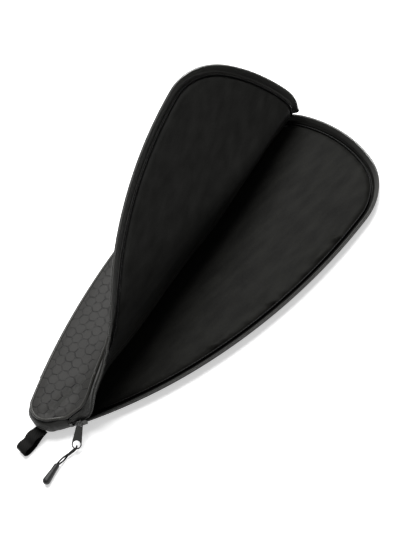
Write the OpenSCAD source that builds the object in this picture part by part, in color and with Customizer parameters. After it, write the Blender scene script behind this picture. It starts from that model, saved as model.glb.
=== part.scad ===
// Zipped paddle case: two padded panels on a coil zip, lying open on its back.
// Units are millimetres. +Z is up, +Y runs from the tail to the head, +X is to the right.
// The origin is on the back face, midway between the tail and the head.

/* [Case outline] */
// Length of the zip line from tail to head
case_l = 440; // [400:5:480]
// Width across the outer edges of the two shoulder arcs
shoulder_w = 192; // [180:2:204]
// Radius of the tail end
tail_r = 26; // [22:1:32]
// Radius of the long flanks
flank_r = 555; // [500:5:700]
// Radius of the shoulders
shoulder_r = 70; // [60:1:80]
// Radius of the head end
head_r = 152; // [140:1:180]
// Thickness of the closed case
case_t = 25; // [23:0.5:32]
// How far the soft tail lies to the left of the middle
tail_sway = 4; // [0:0.5:8]

/* [Panels] */
// Thickness of the laminated outer cloth
cloth_t = 1.2; // [0.8:0.1:1.6]
// Thickness of the foam pad
foam_t = 3.2; // [2:0.2:4]
// Thickness of the lining cloth
lining_t = 0.8; // [0.5:0.1:1.2]
// Inset of the panel edge from the zip line
panel_inset = 8.8; // [8:0.2:12]
// Inset of the pad and lining from the panel edge
pad_inset = 0.6; // [0.4:0.1:1.5]

/* [Edges] */
// Radius of the piping
piping_r = 1.6; // [1.2:0.1:1.8]
// Thickness of the side wall cloth
wall_t = 1; // [0.7:0.1:1.2]
// Height of the zip tape and chain between the two side walls
zip_band = 9.4; // [9:0.2:11]
// Width of the seam binding inside
binding_w = 2; // [1.4:0.2:3]
// Thickness of the seam binding inside
binding_t = 1.1; // [0.8:0.1:1.4]

/* [Zip] */
// Thickness of the zip tape
tape_t = 0.5; // [0.4:0.1:0.6]
// Depth of the coil, outwards from its tape
coil_d = 1.6; // [1.4:0.1:1.8]
// Height of one coil
coil_h = 1.8; // [1.6:0.1:2]
// Gap between the two coils where the slider post runs
coil_gap = 2; // [1.8:0.1:2.4]
// Distance from the tail to the lower end of the zip on the right flank
zip_start = 24; // [20:1:27]
// Distance from the tail to the end of the zip on the left flank
zip_end = 37; // [30:1:60]
// Length of each end stop
stop_l = 2.4; // [2:0.2:3]

/* [Slider] */
// Distance from the tail to the middle of the parked slider
slider_at = 34; // [33:0.5:36]
// Length of the slider
slider_l = 11; // [9:0.5:12]
// Height of the slider plates
slider_h = 8; // [7:0.2:9]
// Thickness of each slider plate
slider_t = 1.1; // [0.9:0.1:1.3]
// Clearance between the slider and what runs through it
slider_gap = 0.8; // [0.6:0.1:0.9]
// Wire radius of the bail ring
bail_wire = 0.75; // [0.6:0.05:0.8]
// Radius of the bail ring's centreline
bail_r = 2.1; // [2:0.1:2.4]

/* [Pull tab] */
// Distance from the tab's crossbar to its hole
tab_l = 21.4; // [19:0.2:26]
// Thickness of the tab
tab_t = 1.2; // [1:0.1:1.6]
// Radius of the tab's round end
tab_r = 4.9; // [4.7:0.1:6]
// Radius of the hole in the tab
tab_hole_r = 3.7; // [3:0.1:3.8]
// Width of the tab at its neck
tab_neck = 6.4; // [6:0.2:8]
// Heading of the tab, measured from +X
tab_heading = -62.7; // [-75:0.1:-50]
// Droop of the tab below level
tab_droop = 28.1; // [20:0.1:32]
// Roll of the tab about its own length
tab_roll = -23.5; // [-30:0.1:-15]

/* [Pull cord] */
// Diameter of the cord
cord_d = 1.8; // [1.4:0.1:2]
// Length of the moulded grip
grip_l = 22; // [18:0.5:24]
// Radius of the grip at its bulb
grip_r = 3.9; // [3.4:0.1:3.9]
// Radius of the grip at its neck
grip_neck_r = 2.7; // [2.5:0.1:3]

/* [Hanging loop] */
// Width of the webbing
web_w = 13.4; // [10:0.2:20]
// Thickness of the webbing
web_t = 1.4; // [1:0.1:1.8]
// Reach of the loop beyond the tail
loop_l = 27; // [22:1:40]
// Outer radius of the loop's bight
loop_r = 4.2; // [3.6:0.1:5]
// Sideways place of the loop
loop_x = 1.5; // [-6:0.5:3]

/* [Front panel folds] */
// Fold angle at each of the two folds when the case lies open
fold_angle = 72; // [60:1:80]
// Gap between the panels at a fold
fold_gap = 0.6; // [0.4:0.1:1]

/* [Hidden] */
$fn = 40;

// --- Outline: four mutually tangent arcs on each side ---
mid_z = case_t / 2;
sway_y = -60;
tail_c = [0, tail_r - case_l / 2];
head_c = [0, case_l / 2 - head_r];
shoulder_x = shoulder_w / 2 - shoulder_r;
shoulder_c = [shoulder_x, head_c[1] + sqrt(pow(head_r - shoulder_r, 2) - pow(shoulder_x, 2))];
reach = norm(shoulder_c - tail_c);
tail_leg = flank_r - tail_r;
shoulder_leg = flank_r - shoulder_r;
along = (pow(tail_leg, 2) - pow(shoulder_leg, 2) + pow(reach, 2)) / (2 * reach);
across = sqrt(pow(tail_leg, 2) - pow(along, 2));
to_shoulder = (shoulder_c - tail_c) / reach;
flank_c = tail_c + along * to_shoulder + across * [-to_shoulder[1], to_shoulder[0]];
function heading(v) = atan2(v[1], v[0]);
a_tail = heading(tail_c - flank_c);
a_shoulder = heading(shoulder_c - flank_c);
a_head = heading(shoulder_c - head_c);

// Each arc: centre, radius, first angle, last angle, steps
right_arcs = [
    [tail_c, tail_r, -90, a_tail, 5],
    [flank_c, flank_r, a_tail, a_shoulder, 12],
    [shoulder_c, shoulder_r, a_shoulder, a_head, 7],
    [head_c, head_r, a_head, 90, 4]
];
function mirrored(arc) = [[-arc[0][0], arc[0][1]], arc[1], 180 - arc[3], 180 - arc[2], arc[4]];
arcs = concat(right_arcs, [for (i = [3:-1:0]) mirrored(right_arcs[i])]);
turns = len(arcs);

// A place u on the outline is an arc's number plus a fraction of that arc
function arc_at(u) = arcs[floor(u) % turns];
function angle_at(u) = let (a = arc_at(u)) a[2] + (u - floor(u)) * (a[3] - a[2]);
function swayed(p) = p - [tail_sway * pow(max(0, (sway_y - p[1]) / (sway_y + case_l / 2)), 2), 0];
function edge_point(u, inset) =
    let (a = arc_at(u), t = angle_at(u)) swayed(a[0] + (a[1] - inset) * [cos(t), sin(t)]);
function edge_heading(u) = heading(edge_point(u + 0.005, 0) - edge_point(u - 0.005, 0)) - 90;
function stations(u0, u1) = concat(
    [u0],
    [for (k = [floor(u0):ceil(u1)]) for (j = [0:arc_at(k)[4] - 1])
        let (u = k + j / arc_at(k)[4]) if (u > u0 + 0.002 && u < u1 - 0.002) u],
    [u1]);
function flank_u(from_tail) =
    1 + (asin((from_tail - case_l / 2 - flank_c[1]) / flank_r) - a_tail) / (a_shoulder - a_tail);
function flank_step(length) = length / (flank_r * (a_shoulder - a_tail) * PI / 180);

// --- Fold lines of the front panel, as seen from above, tail end first ---
fold_1 = [[21.6, -184], [-47, 205]];
fold_2 = [[48, -60], [-38, 200]];
function line_dir(line) = (line[1] - line[0]) / norm(line[1] - line[0]);
function beyond(line, p) = let (d = line_dir(line)) (p - line[0]) * [d[1], -d[0]];
function crossing(line, inset, lo, hi, n) =
    let (m = (lo + hi) / 2)
    n == 0 ? m
    : beyond(line, edge_point(lo, inset)) * beyond(line, edge_point(m, inset)) <= 0
        ? crossing(line, inset, lo, m, n - 1)
        : crossing(line, inset, m, hi, n - 1);

// --- Places along the zip line ---
u_start = flank_u(zip_start);
u_slider = flank_u(slider_at);
u_slider_front = u_slider + flank_step(slider_l / 2 + slider_gap);
u_fold_rim = u_slider_front + flank_step(fold_gap);
u_flap_right = crossing(fold_2, 0, 1, 2, 30);
u_flap_head = crossing(fold_2, 0, 4, 5, 30);
u_fold_head = crossing(fold_1, 0, 4, 5, 30);
u_end = turns - flank_u(zip_end);
u_panel_tail = turns + crossing(fold_1, panel_inset, 0.4, 1.4, 30);
rim_gap = fold_gap / 2 / (head_r * (90 - a_head) * PI / 180);
flank_gap = flank_step(fold_gap / 2);
stop_u = flank_step(stop_l);

// --- Cross-sections as [inset from the zip line, height above the back face] ---
wall_foot = [panel_inset - 2, 2 * piping_r + 0.3];
wall_top = [0.9, mid_z - zip_band / 2];
wall_run = (wall_foot - wall_top) / norm(wall_foot - wall_top);
wall_normal = [-wall_run[1], wall_run[0]];
function band(p, q, near, far) =
    [p + near * wall_normal, q + near * wall_normal, q + far * wall_normal, p + far * wall_normal];
wall_section = band(wall_foot, wall_top, 0, wall_t);
tape_in = coil_d;
tape_lap = 5;
tape_near = wall_t + 0.1;
tape_bend = wall_top + tape_near * wall_normal;
tape_bend_in = wall_top + (tape_near + tape_t) * wall_normal;
tape_section = [
    [tape_in, mid_z - coil_gap / 2],
    [tape_in, tape_bend[1] + (tape_in - tape_bend[0]) * wall_run[1] / wall_run[0]],
    tape_bend + tape_lap * wall_run,
    tape_bend_in + tape_lap * wall_run,
    [tape_in + tape_t, tape_bend_in[1] + (tape_in + tape_t - tape_bend_in[0]) * wall_run[1] / wall_run[0]],
    [tape_in + tape_t, mid_z - coil_gap / 2]
];
coil_top = mid_z - coil_gap / 2;
coil_section = [
    [0, coil_top - coil_h * 0.3], [0, coil_top - coil_h * 0.7],
    [coil_d * 0.3, coil_top - coil_h], [coil_d, coil_top - coil_h],
    [coil_d, coil_top], [coil_d * 0.3, coil_top]
];
stop_section = [
    [-0.3, mid_z - 3.2], [coil_d, mid_z - 3.2], [coil_d, mid_z + 3.2], [-0.3, mid_z + 3.2]
];
floor_z = cloth_t + foam_t + lining_t;
side_near = wall_t + 0.7;
side_section = band(wall_foot, wall_foot - 0.66 * norm(wall_foot - wall_top) * wall_run,
    side_near, side_near + lining_t * 0.7);
binding_inset = panel_inset + pad_inset - 0.4;
binding_section = [
    [binding_inset, floor_z + 0.1], [binding_inset + binding_w, floor_z + 0.1],
    [binding_inset + binding_w * 0.8, floor_z + 0.1 + binding_t],
    [binding_inset + binding_w * 0.2, floor_z + 0.1 + binding_t]
];
piping_c = [panel_inset - 0.2 - piping_r, piping_r + 0.05];
piping_section = [for (k = [0:7]) piping_c + piping_r * [cos(k * 45 + 22.5), -sin(k * 45 + 22.5)]];
gusset_section = [
    wall_foot, [wall_top[0], wall_top[1] + 0.8],
    [wall_top[0], case_t - wall_top[1] - 0.8], [wall_foot[0], case_t - wall_foot[1]],
    [wall_foot[0] + wall_t * 0.7, case_t - wall_foot[1] - wall_t * 0.8],
    [wall_top[0] + wall_t, case_t - wall_top[1] - 0.8 - wall_t / 2],
    [wall_top[0] + wall_t, wall_top[1] + 0.8 + wall_t / 2],
    [wall_foot[0] + wall_t * 0.7, wall_foot[1] + wall_t * 0.8]
];
function flipped(section) = [for (k = [len(section) - 1:-1:0]) [section[k][0], case_t - section[k][1]]];

// --- Slider and tab ---
slider_in = tape_in + tape_t + slider_gap;
post_t = coil_gap - 1;
pivot = [3, mid_z + 5.1];
pivot_bar_r = 0.8;
arm_w = 1.2;
arm_in = tab_neck / 2 - arm_w;
tab_shoulder = bail_r + bail_wire + 0.9;

// Route of the cord: from the grip over the tab's round end, down its hole and back under it
cord_z = 3.9;
cord_route = [
    [41, -233, cord_z], [41, -229.5, cord_z], [40.7, -226, 3.8], [40.6, -222.5, 3.6],
    [41.4, -219, 3.8], [42.7, -215.8, 4.7], [44, -213.2, 6.4], [45.2, -209.7, 7.7],
    [45.7, -207, 7.5], [44.3, -205.4, 6.8], [43.2, -205.7, 4.8], [43.3, -207.4, 2.8],
    [43.2, -210.4, 2.3], [42.6, -213.6, 1.9], [41.9, -216.6, 1.8], [41.8, -219.6, 1.7],
    [42.5, -222.8, 2.1], [42.9, -226, 2.9], [43, -229.5, cord_z], [43, -233, cord_z]
];
bend_axis = [0.73, 0.59, -0.35];
grip_at = [42, -231, cord_z];
grip_heading = -76;

module panel_shape(inset) {
    polygon([for (k = [0:turns - 1]) for (j = [0:arcs[k][4] - 1]) edge_point(k + j / arcs[k][4], inset)]);
}

// Everything to one side of a line, seen from above
module side_of(line, right) {
    size = 3 * case_l;
    translate(line[0])
        rotate(heading(line_dir(line)))
            translate([-size / 2, right ? -size - fold_gap / 2 : fold_gap / 2])
                square(size);
}

module front_part(part, inset) {
    intersection() {
        panel_shape(inset);
        side_of(fold_1, part != "spine");
        if (part != "spine") side_of(fold_2, part == "flap");
    }
}

module layer(part, inset, z, t) {
    translate([0, 0, z])
        linear_extrude(t)
            if (part == "back") panel_shape(inset);
            else front_part(part, inset);
}

// Two triangles between neighbouring sections, because the swayed outline twists its strips
function skin(a, b, c, d) = [[a, b, c], [a, c, d]];

// Section swept along the outline from one place to another
module rim(section, u0, u1) {
    us = stations(u0, u1);
    n = len(section);
    last = len(us) - 1;
    points = [for (u = us) for (s = section) concat(edge_point(u, s[0]), s[1])];
    sides = [for (k = [0:last - 1]) for (j = [0:n - 1])
        let (i = (j + 1) % n) each skin(k * n + j, k * n + i, (k + 1) * n + i, (k + 1) * n + j)];
    // Each cap is a strip of quads, because most sections are bent bands
    first_cap = [for (j = [0:n / 2 - 2]) [n - 1 - j, n - 2 - j, j + 1, j]];
    last_cap = [for (j = [0:n / 2 - 2]) [for (i = [j, j + 1, n - 2 - j, n - 1 - j]) last * n + i]];
    polyhedron(points, concat(sides, first_cap, last_cap));
}

// Section swept all the way round the outline
module full_rim(section) {
    us = [for (k = [0:turns - 1]) for (j = [0:arcs[k][4] - 1]) k + j / arcs[k][4]];
    n = len(section);
    m = len(us);
    points = [for (u = us) for (s = section) concat(edge_point(u, s[0]), s[1])];
    polyhedron(points, [for (k = [0:m - 1]) for (j = [0:n - 1])
        let (i = (j + 1) % n, next = (k + 1) % m)
            each skin(k * n + j, k * n + i, next * n + i, next * n + j)]);
}

// Turns a front part from its closed place to its open one
module opened(line, angle) {
    d = line_dir(line);
    hinge = concat(line[0], case_t);
    translate(hinge) rotate(-angle, concat(d, 0)) translate(-hinge) children();
}

module placed(part) {
    if (part == "spine") children();
    else if (part == "fold") opened(fold_1, fold_angle) children();
    else opened(fold_1, fold_angle) opened(fold_2, fold_angle) children();
}

// Stretches of the outline that belong to each front part
function rim_spans(part) =
    part == "spine" ? [[u_fold_head + rim_gap, u_end], [u_start, u_slider_front]]
    : part == "fold" ? [[u_fold_rim, u_flap_right - flank_gap], [u_flap_head + rim_gap, u_fold_head - rim_gap]]
    : [[u_flap_right + flank_gap, u_flap_head - rim_gap]];
function panel_spans(part) =
    part == "spine" ? [[u_fold_head + rim_gap, u_panel_tail]] : rim_spans(part);

module front_rim(part, section) {
    placed(part) for (s = rim_spans(part)) rim(flipped(section), s[0], s[1]);
}

module front_edge(part, section) {
    placed(part) for (s = panel_spans(part)) rim(flipped(section), s[0], s[1]);
}

// --- Back half ---
module back_panel() { color("#3d3c39") layer("back", panel_inset, 0, cloth_t); }
module back_foam() { color("#55544f") layer("back", panel_inset + pad_inset, cloth_t, foam_t); }
module back_lining() {
    color("#2f2f2f") layer("back", panel_inset + pad_inset, cloth_t + foam_t, lining_t);
}
module back_piping() { color("#444340") full_rim(piping_section); }
module back_side_wall() { color("#353432") rim(wall_section, u_start, u_end); }
module back_side_lining() { color("#2c2c2c") rim(side_section, u_start, u_end); }
module back_zip_tape() { color("#2a2a2a") rim(tape_section, u_start, u_end); }
module back_zip_coil() { color("#1f1f1f") rim(coil_section, u_start + stop_u, u_end - stop_u); }
module back_seam_binding() { color("#242424") full_rim(binding_section); }

// --- Closed tail ---
module tail_gusset() { color("#3a3937") rim(gusset_section, u_end, turns + u_start); }

module zip_end_stops() {
    color("#1b1b1b") {
        rim(stop_section, u_start, u_start + stop_u);
        rim(stop_section, u_end - stop_u, u_end);
    }
}

// --- Hanging loop: a doubled strap of webbing standing out from the tail ---
module hanging_loop() {
    root_y = -case_l / 2 + wall_top[0] - 0.4;
    root_z = loop_r + 2;
    bight_y = root_y - loop_l + loop_r;
    color("#3b3a38")
        translate([loop_x - web_w / 2, 0, 0])
            rotate([90, 0, 90])
                linear_extrude(web_w)
                    difference() {
                        union() {
                            translate([bight_y, loop_r]) circle(loop_r);
                            polygon([[bight_y, 0], [root_y - 6, root_z - web_t],
                                [root_y, root_z - web_t], [root_y, root_z + web_t],
                                [root_y - 6, root_z + web_t], [bight_y, 2 * loop_r]]);
                        }
                        translate([bight_y, loop_r]) circle(loop_r - web_t);
                        polygon([[bight_y, web_t], [root_y - 7, root_z - 0.1],
                            [root_y - 7, root_z + 0.1], [bight_y, 2 * loop_r - web_t]]);
                    }
}

// --- Front panel: spine that stays put, then two parts that fold back ---
module front_panel(part) { placed(part) layer(part, panel_inset, case_t - cloth_t, cloth_t); }
module front_foam(part) {
    placed(part) layer(part, panel_inset + pad_inset, case_t - cloth_t - foam_t, foam_t);
}
module front_lining(part) {
    placed(part) layer(part, panel_inset + pad_inset, case_t - floor_z, lining_t);
}

module spine_panel() { color("#3d3c39") front_panel("spine"); }
module spine_foam() { color("#55544f") front_foam("spine"); }
module spine_lining() { color("#2f2f2f") front_lining("spine"); }
module spine_piping() { color("#444340") front_edge("spine", piping_section); }
module spine_side_wall() { color("#353432") front_rim("spine", wall_section); }
module spine_zip_tape() { color("#2a2a2a") front_rim("spine", tape_section); }
module spine_zip_coil() {
    color("#1f1f1f") {
        rim(flipped(coil_section), u_fold_head + rim_gap, u_end - stop_u);
        rim(flipped(coil_section), u_start + stop_u, u_slider_front);
    }
}
module spine_seam_binding() { color("#242424") front_edge("spine", binding_section); }

module fold_panel() { color("#3d3c39") front_panel("fold"); }
module fold_foam() { color("#55544f") front_foam("fold"); }
module fold_lining() { color("#2f2f2f") front_lining("fold"); }
module fold_piping() { color("#444340") front_edge("fold", piping_section); }
module fold_side_wall() { color("#353432") front_rim("fold", wall_section); }
module fold_zip_tape() { color("#2a2a2a") front_rim("fold", tape_section); }
module fold_zip_coil() { color("#1f1f1f") front_rim("fold", coil_section); }
module fold_seam_binding() { color("#242424") front_edge("fold", binding_section); }

module flap_panel() { color("#3d3c39") front_panel("flap"); }
module flap_foam() { color("#55544f") front_foam("flap"); }
module flap_lining() { color("#2f2f2f") front_lining("flap"); }
module flap_piping() { color("#444340") front_edge("flap", piping_section); }
module flap_side_wall() { color("#353432") front_rim("flap", wall_section); }
module flap_zip_tape() { color("#2a2a2a") front_rim("flap", tape_section); }
module flap_zip_coil() { color("#1f1f1f") front_rim("flap", coil_section); }
module flap_seam_binding() { color("#242424") front_edge("flap", binding_section); }

// --- Slider: +X points out of the case, +Y along the zip, +Z up ---
module at_slider() {
    translate(concat(edge_point(u_slider, 0), 0)) rotate(edge_heading(u_slider)) children();
}

module plate(x, l, h, t) {
    corner = 1.2;
    translate([x, 0, mid_z])
        rotate([90, 0, 90])
            linear_extrude(t) {
                square([l, h - 2 * corner], center = true);
                square([l - 2 * corner, h], center = true);
                for (i = [-1, 1]) for (k = [-1, 1])
                    translate([i * (l / 2 - corner), k * (h / 2 - corner)]) circle(corner);
            }
}

module tab_place() {
    rotate(-edge_heading(u_slider))
        rotate([0, 0, tab_heading]) rotate([0, tab_droop, 0]) rotate([tab_roll, 0, 0]) children();
}

module zip_slider() {
    boss_l = 2.6;
    color("#5c5c5a")
        at_slider() {
            plate(slider_gap, slider_l, slider_h, slider_t);
            plate(-slider_in - slider_t, slider_l, slider_h - 1, slider_t);
            translate([-slider_in - slider_t / 2, -slider_l / 2 + 1, mid_z - post_t / 2])
                cube([slider_in + slider_gap + slider_t, slider_l - 2, post_t]);
            translate([slider_gap + slider_t / 2, -boss_l / 2, mid_z + 0.6])
                cube([pivot[0] - slider_gap, boss_l, slider_h / 2 - 0.8]);
            translate([pivot[0], 0, pivot[1]])
                tab_place()
                    rotate([90, 0, 0]) rotate_extrude() translate([bail_r, 0]) circle(bail_wire);
        }
}

module pull_tab() {
    color("#6a6a68")
        at_slider()
            translate([pivot[0], 0, pivot[1]])
                tab_place() {
                    rotate([90, 0, 0]) cylinder(r = pivot_bar_r, h = tab_neck, center = true);
                    for (k = [-1, 1])
                        translate([0, k * (tab_neck - arm_w) / 2 - arm_w / 2, -tab_t / 2])
                            cube([tab_shoulder + 1, arm_w, tab_t]);
                    translate([0, 0, -tab_t / 2])
                        linear_extrude(tab_t)
                            difference() {
                                union() {
                                    polygon([[tab_shoulder, -tab_neck / 2], [tab_l, -tab_r],
                                        [tab_l, tab_r], [tab_shoulder, tab_neck / 2]]);
                                    translate([tab_l, 0]) circle(tab_r);
                                }
                                translate([tab_l, 0]) circle(tab_hole_r);
                            }
                }
}

// --- Cord and grip ---
function unit(v) = v / norm(v);
function route_dir(k) =
    unit(cord_route[min(k + 1, len(cord_route) - 1)] - cord_route[max(k - 1, 0)]);
module pull_cord() {
    sides = 8;
    last = len(cord_route) - 1;
    points = [for (k = [0:last])
        let (d = route_dir(k), e = unit(cross(d, bend_axis)), f = cross(d, e))
        for (j = [0:sides - 1])
            cord_route[k] + cord_d / 2 * (cos(j * 360 / sides) * e + sin(j * 360 / sides) * f)];
    walls = [for (k = [0:last - 1]) for (j = [0:sides - 1]) let (i = (j + 1) % sides)
        [k * sides + i, k * sides + j, (k + 1) * sides + j, (k + 1) * sides + i]];
    color("#2b2b2b")
        polyhedron(points, concat(walls,
            [[for (j = [0:sides - 1]) j], [for (j = [sides - 1:-1:0]) last * sides + j]]));
}

module pull_grip() {
    bulb_x = grip_l - grip_r;
    color("#3c3c3b")
        translate(grip_at)
            rotate([0, 0, grip_heading])
                rotate([0, 90, 0])
                    rotate_extrude()
                        intersection() {
                            square([grip_r, grip_l]);
                            union() {
                                translate([0, bulb_x]) circle(grip_r);
                                polygon([[0, 0], [grip_neck_r, 0], [grip_neck_r + 0.2, grip_l * 0.3],
                                    [grip_r, bulb_x], [0, bulb_x]]);
                            }
                        }
}

back_panel();
back_foam();
back_lining();
back_piping();
back_side_wall();
back_side_lining();
back_zip_tape();
back_zip_coil();
back_seam_binding();
tail_gusset();
zip_end_stops();
hanging_loop();
spine_panel();
spine_foam();
spine_lining();
spine_piping();
spine_side_wall();
spine_zip_tape();
spine_zip_coil();
spine_seam_binding();
fold_panel();
fold_foam();
fold_lining();
fold_piping();
fold_side_wall();
fold_zip_tape();
fold_zip_coil();
fold_seam_binding();
flap_panel();
flap_foam();
flap_lining();
flap_piping();
flap_side_wall();
flap_zip_tape();
flap_zip_coil();
flap_seam_binding();
zip_slider();
pull_tab();
pull_cord();
pull_grip();
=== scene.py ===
import math
import bpy
import numpy as np
from mathutils import Matrix, Vector, noise
from mathutils.geometry import delaunay_2d_cdt


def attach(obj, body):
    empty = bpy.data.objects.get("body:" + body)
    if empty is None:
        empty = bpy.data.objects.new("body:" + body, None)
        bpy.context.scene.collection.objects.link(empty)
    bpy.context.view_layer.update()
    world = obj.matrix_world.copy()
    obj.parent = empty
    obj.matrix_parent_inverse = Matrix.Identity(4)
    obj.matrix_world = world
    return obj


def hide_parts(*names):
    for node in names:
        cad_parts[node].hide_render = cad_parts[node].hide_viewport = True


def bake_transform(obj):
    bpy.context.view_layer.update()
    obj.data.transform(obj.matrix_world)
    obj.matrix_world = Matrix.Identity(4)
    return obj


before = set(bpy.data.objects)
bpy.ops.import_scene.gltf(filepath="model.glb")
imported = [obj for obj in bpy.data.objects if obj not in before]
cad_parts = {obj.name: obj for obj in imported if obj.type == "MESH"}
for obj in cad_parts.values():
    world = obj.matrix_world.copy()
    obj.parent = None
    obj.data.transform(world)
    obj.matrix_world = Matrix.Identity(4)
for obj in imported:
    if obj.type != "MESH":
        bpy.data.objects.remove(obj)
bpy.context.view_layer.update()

mm = 0.001
print("frame loaded,", len(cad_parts), "nodes")

# where the camera stands: tilt from straight above, turn round the case, roll about its own line of sight
view = {
    "tilt": 36, "turn": -20, "roll": 45.8, "distance": 1300, "aim": (0, 10, 15),
    "lens": 115.4, "shift": (-0.0022, -0.0015),
}

# one wide soft lamp above the flap, in metres and watts, and a little light from all round
light = {"place": (-0.55, 0.55, 1.4), "aim": (0, 0, 0.02), "size": 1.5, "watts": 50, "world": 0.2}


def addToScene(name, data):
    thing = bpy.data.objects.new(name, data)
    bpy.context.scene.collection.objects.link(thing)
    return thing


def makeCamera():
    tilt, turn, roll = (math.radians(view[k]) for k in ("tilt", "turn", "roll"))
    away = Vector((math.sin(tilt) * math.cos(turn), math.sin(tilt) * math.sin(turn), math.cos(tilt)))
    level = Vector((0, 1, 0)).cross(away).normalized()
    upright = away.cross(level)
    right = math.cos(roll) * level + math.sin(roll) * upright
    up = away.cross(right)
    camera = bpy.data.cameras.new("camera")
    camera.sensor_width = 36
    camera.sensor_fit = "HORIZONTAL"
    camera.lens = view["lens"]
    camera.shift_x, camera.shift_y = view["shift"]
    camera.clip_end = 20
    holder = addToScene("camera", camera)
    place = (Vector(view["aim"]) + view["distance"] * away) * mm
    holder.matrix_world = Matrix.Translation(place) @ Matrix((right, up, away)).transposed().to_4x4()
    bpy.context.scene.camera = holder


def makeLight():
    lamp = bpy.data.lights.new("softboxUpperLeft", "AREA")
    lamp.shape = "DISK"
    lamp.size = light["size"]
    lamp.energy = light["watts"]
    holder = addToScene("softboxUpperLeft", lamp)
    place = Vector(light["place"])
    holder.location = place
    holder.rotation_euler = (Vector(light["aim"]) - place).to_track_quat("-Z", "Y").to_euler()
    world = bpy.data.worlds.new("studio")
    bpy.context.scene.world = world
    world.use_nodes = True
    background = world.node_tree.nodes["Background"]
    background.inputs["Color"].default_value = (1, 1, 1, 1)
    background.inputs["Strength"].default_value = light["world"]
    bpy.context.scene.view_settings.view_transform = "Standard"


# the pull's cord, in mm: from the grip over the tab's round end, down its hole and back under it
pullCord = {
    "diameter": 1.8,
    "length": 61,
    "exit": (43.2, -205.7, 4.8),
    "route": [
        (41, -233, 3.9), (41, -229.5, 3.9), (40.7, -226, 3.8), (40.6, -222.5, 3.6),
        (41.4, -219, 3.8), (42.7, -215.8, 4.7), (44, -213.2, 6.4), (45.2, -209.7, 7.7),
        (45.7, -207, 7.5), (44.3, -205.4, 6.8), (43.2, -205.7, 4.8), (43.3, -207.4, 2.8),
        (43.2, -210.4, 2.3), (42.6, -213.6, 1.9), (41.9, -216.6, 1.8), (41.8, -219.6, 1.7),
        (42.5, -222.8, 2.1), (42.9, -226, 2.9), (43, -229.5, 3.9), (43, -233, 3.9),
    ],
}


def makeCord():
    curve = bpy.data.curves.new("pullCordLine", "CURVE")
    curve.dimensions = "3D"
    curve.bevel_depth = pullCord["diameter"] / 2 * mm
    curve.bevel_resolution = 3
    curve.resolution_u = 5
    line = curve.splines.new("BEZIER")
    line.bezier_points.add(len(pullCord["route"]) - 1)
    for point, place in zip(line.bezier_points, pullCord["route"]):
        point.co = Vector(place) * mm
        point.handle_left_type = "AUTO"
        point.handle_right_type = "AUTO"
    return addToScene("pullCord", curve)


makeCamera()
makeLight()
cord = makeCord()
print("camera, light and cord made")


def linearFromHex(code):
    parts = [int(code[k:k + 2], 16) / 255 for k in (1, 3, 5)]
    return tuple(p / 12.92 if p <= 0.04045 else ((p + 0.055) / 1.055) ** 2.4 for p in parts) + (1,)


def addNode(tree, kind, links=None, values=None, **settings):
    node = tree.nodes.new(kind)
    for key, value in settings.items():
        setattr(node, key, value)
    for key, value in (values or {}).items():
        node.inputs[key].default_value = value
    for key, source in (links or {}).items():
        tree.links.new(source, node.inputs[key])
    return node


def startMaterial(name, look):
    made = bpy.data.materials.new(name)
    made.use_nodes = True
    shader = made.node_tree.nodes["Principled BSDF"]
    shader.inputs["Roughness"].default_value = look["roughness"]
    shader.inputs["Sheen Weight"].default_value = look.get("sheen", 0)
    shader.inputs["Sheen Roughness"].default_value = 0.5
    shader.inputs["Specular IOR Level"].default_value = look["specular"]
    return made, made.node_tree, shader


def finishMaterial(tree, shader, look, factor, height):
    # the two tones by the factor, and the relief by the height
    mix = addNode(tree, "ShaderNodeMix", {"Factor": factor}, data_type="RGBA")
    mix.inputs[6].default_value = linearFromHex(look["dark"])
    mix.inputs[7].default_value = linearFromHex(look["light"])
    tree.links.new(mix.outputs[2], shader.inputs["Base Color"])
    depth = look["depth"] * mm
    relief = addNode(tree, "ShaderNodeBump", {"Height": height}, {"Strength": 1.0, "Distance": depth})
    tree.links.new(relief.outputs[0], shader.inputs["Normal"])


# polyester twill embossed with a honeycomb: matt grey cells between thin darker grooves that fade in patches
# sizes in mm; the thread is drawn coarser than a real one of 0.3 mm, so that it shows
honeycomb = {
    "light": "#282725", "dark": "#0f0f0e", "roughness": 0.62, "sheen": 0.08, "specular": 0.3, "depth": 0.35,
    "cell": 10.6, "groove": 0.34, "start": (3.1, 1.4), "thread": 0.8, "wear": 20, "fade": 6.25,
}


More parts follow.
